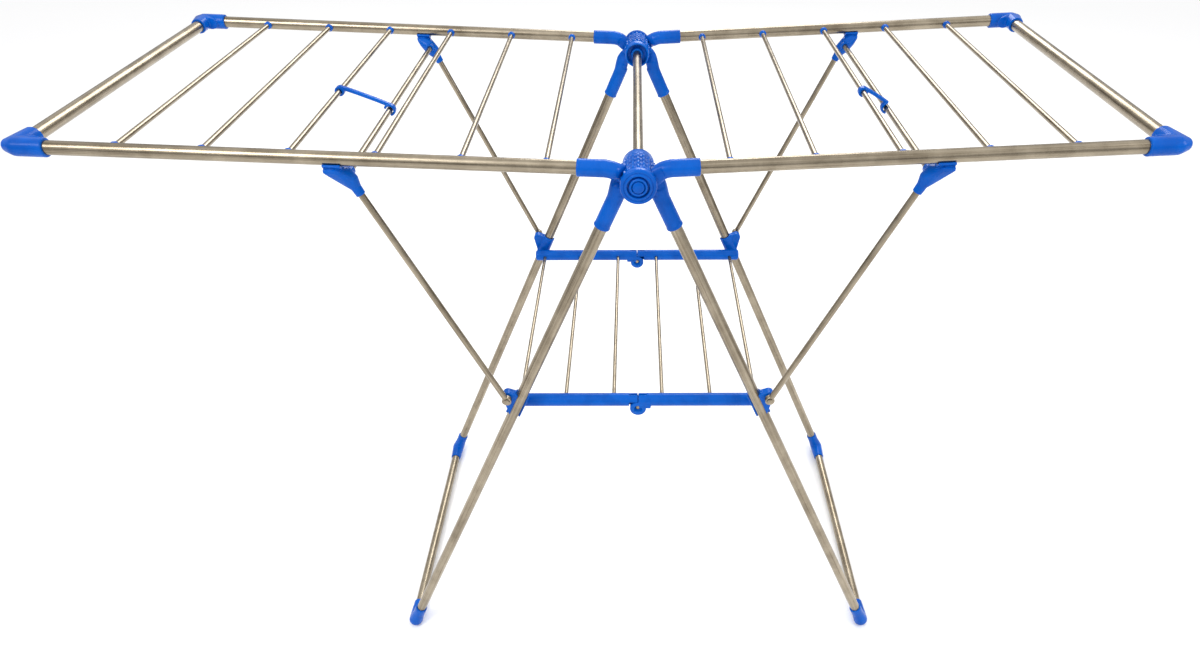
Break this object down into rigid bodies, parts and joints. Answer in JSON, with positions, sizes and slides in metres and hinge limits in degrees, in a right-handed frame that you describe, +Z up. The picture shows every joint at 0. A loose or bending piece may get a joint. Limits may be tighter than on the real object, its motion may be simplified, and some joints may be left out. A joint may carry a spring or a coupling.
{
  "type": "clothes drying rack",
  "caption": "Folding clothes drying rack with two hinged wings of rods, splayed leg frames, props under the wings and a folding middle shelf.",
  "frame": {"origin": "on the floor, directly under the hub axis and midway between the front and rear hubs", "axes": "+X towards the shorter wing, +Y from the front hub to the rear hub, +Z up"},
  "size_m": [1.5748, 0.6546, 1.1147],
  "materials": {
    "steel": "brushed",
    "blue_plastic": "gloss"
  },
  "bodies": {
    "hub": {"axle_tube": "steel", "hub_caps": "blue_plastic", "inner_collars": "blue_plastic"},
    "left_leg_frame": {"left_front_leg": "steel", "left_rear_leg": "steel", "left_floor_tube": "steel", "left_front_leg_socket": "blue_plastic", "left_rear_leg_socket": "blue_plastic", "left_front_foot": "blue_plastic", "left_rear_foot": "blue_plastic", "left_front_bracket": "blue_plastic", "left_rear_bracket": "blue_plastic", "left_pivot_pins": "steel"},
    "right_leg_frame": {"right_front_leg": "steel", "right_rear_leg": "steel", "right_floor_tube": "steel", "right_front_leg_socket": "blue_plastic", "right_rear_leg_socket": "blue_plastic", "right_front_foot": "blue_plastic", "right_rear_foot": "blue_plastic", "right_front_bracket": "blue_plastic", "right_rear_bracket": "blue_plastic", "right_pivot_pins": "steel"},
    "left_wing": {"left_front_rail": "steel", "left_rear_rail": "steel", "left_end_tube": "steel", "left_front_wing_socket": "blue_plastic", "left_rear_wing_socket": "blue_plastic", "left_wing_corners": "blue_plastic", "left_wing_rods": "steel", "left_rod_bushes": "blue_plastic"},
    "right_wing": {"right_front_rail": "steel", "right_rear_rail": "steel", "right_end_tube": "steel", "right_front_wing_socket": "blue_plastic", "right_rear_wing_socket": "blue_plastic", "right_wing_corners": "blue_plastic", "right_wing_rods": "steel", "right_rod_bushes": "blue_plastic"},
    "left_prop_frame": {"left_front_prop": "steel", "left_rear_prop": "steel", "left_cross_rod": "steel", "left_front_head": "blue_plastic", "left_rear_head": "blue_plastic"},
    "right_prop_frame": {"right_front_prop": "steel", "right_rear_prop": "steel", "right_cross_rod": "steel", "right_front_head": "blue_plastic", "right_rear_head": "blue_plastic"},
    "left_link": {"left_link": "blue_plastic"},
    "right_link": {"right_link": "blue_plastic"},
    "left_shelf": {"left_front_shelf_bar": "blue_plastic", "left_rear_shelf_bar": "blue_plastic", "left_shelf_rods": "steel", "shelf_hinge_pins": "steel"},
    "right_shelf": {"right_front_shelf_bar": "blue_plastic", "right_rear_shelf_bar": "blue_plastic", "right_shelf_rods": "steel"}
  },
  "joints": [
    {"name": "left_leg_fold", "type": "hinge", "parent": "hub", "child": "left_leg_frame", "pos_m": [0, 0, 1.05], "axis": [0, -1, 0], "range_deg": [0, 24]},
    {"name": "right_leg_fold", "type": "hinge", "parent": "hub", "child": "right_leg_frame", "pos_m": [0, 0, 1.05], "axis": [0, -1, 0], "range_deg": [-24, 0]},
    {"name": "left_wing_fold", "type": "hinge", "parent": "left_leg_frame", "child": "left_wing", "pos_m": [0, 0, 1.05], "axis": [0, -1, 0], "range_deg": [0, 60]},
    {"name": "right_wing_fold", "type": "hinge", "parent": "right_leg_frame", "child": "right_wing", "pos_m": [0, 0, 1.05], "axis": [0, 1, 0], "range_deg": [0, 60]},
    {"name": "left_prop_fold", "type": "hinge", "parent": "left_leg_frame", "child": "left_prop_frame", "pos_m": [-0.2202, 0, 0.65363], "axis": [0, -1, 0], "range_deg": [0, 128.87]},
    {"name": "right_prop_fold", "type": "hinge", "parent": "right_leg_frame", "child": "right_prop_frame", "pos_m": [0.2202, 0, 0.65363], "axis": [0, 1, 0], "range_deg": [0, 128.87]},
    {"name": "left_link_swing", "type": "hinge", "parent": "left_wing", "child": "left_link", "pos_m": [-0.4689, -0.045, 1.08549], "axis": [0, -1, 0], "range_deg": [-30, 0]},
    {"name": "right_link_swing", "type": "hinge", "parent": "right_wing", "child": "right_link", "pos_m": [0.35401, -0.045, 1.08047], "axis": [0, 1, 0], "range_deg": [0, 18]},
    {"name": "left_shelf_fold", "type": "hinge", "parent": "left_leg_frame", "child": "left_shelf", "pos_m": [-0.21089, 0, 0.621], "axis": [0, -1, 0], "range_deg": [0, 64.59]},
    {"name": "shelf_centre_fold", "type": "hinge", "parent": "left_shelf", "child": "right_shelf", "pos_m": [0, 0, 0.608], "axis": [0, -1, 0], "range_deg": [-177.19, 0]}
  ],
  "couplings": [
    {"joint": "right_leg_fold", "follows": "left_leg_fold", "ratio": -1},
    {"joint": "left_shelf_fold", "follows": "left_leg_fold", "ratio": 2.6914},
    {"joint": "shelf_centre_fold", "follows": "left_leg_fold", "ratio": -7.3829},
    {"joint": "left_prop_fold", "follows": "left_wing_fold", "ratio": 2.1478},
    {"joint": "left_link_swing", "follows": "left_wing_fold", "ratio": -0.5},
    {"joint": "right_prop_fold", "follows": "right_wing_fold", "ratio": 2.1478},
    {"joint": "right_link_swing", "follows": "right_wing_fold", "ratio": 0.3}
  ]
}
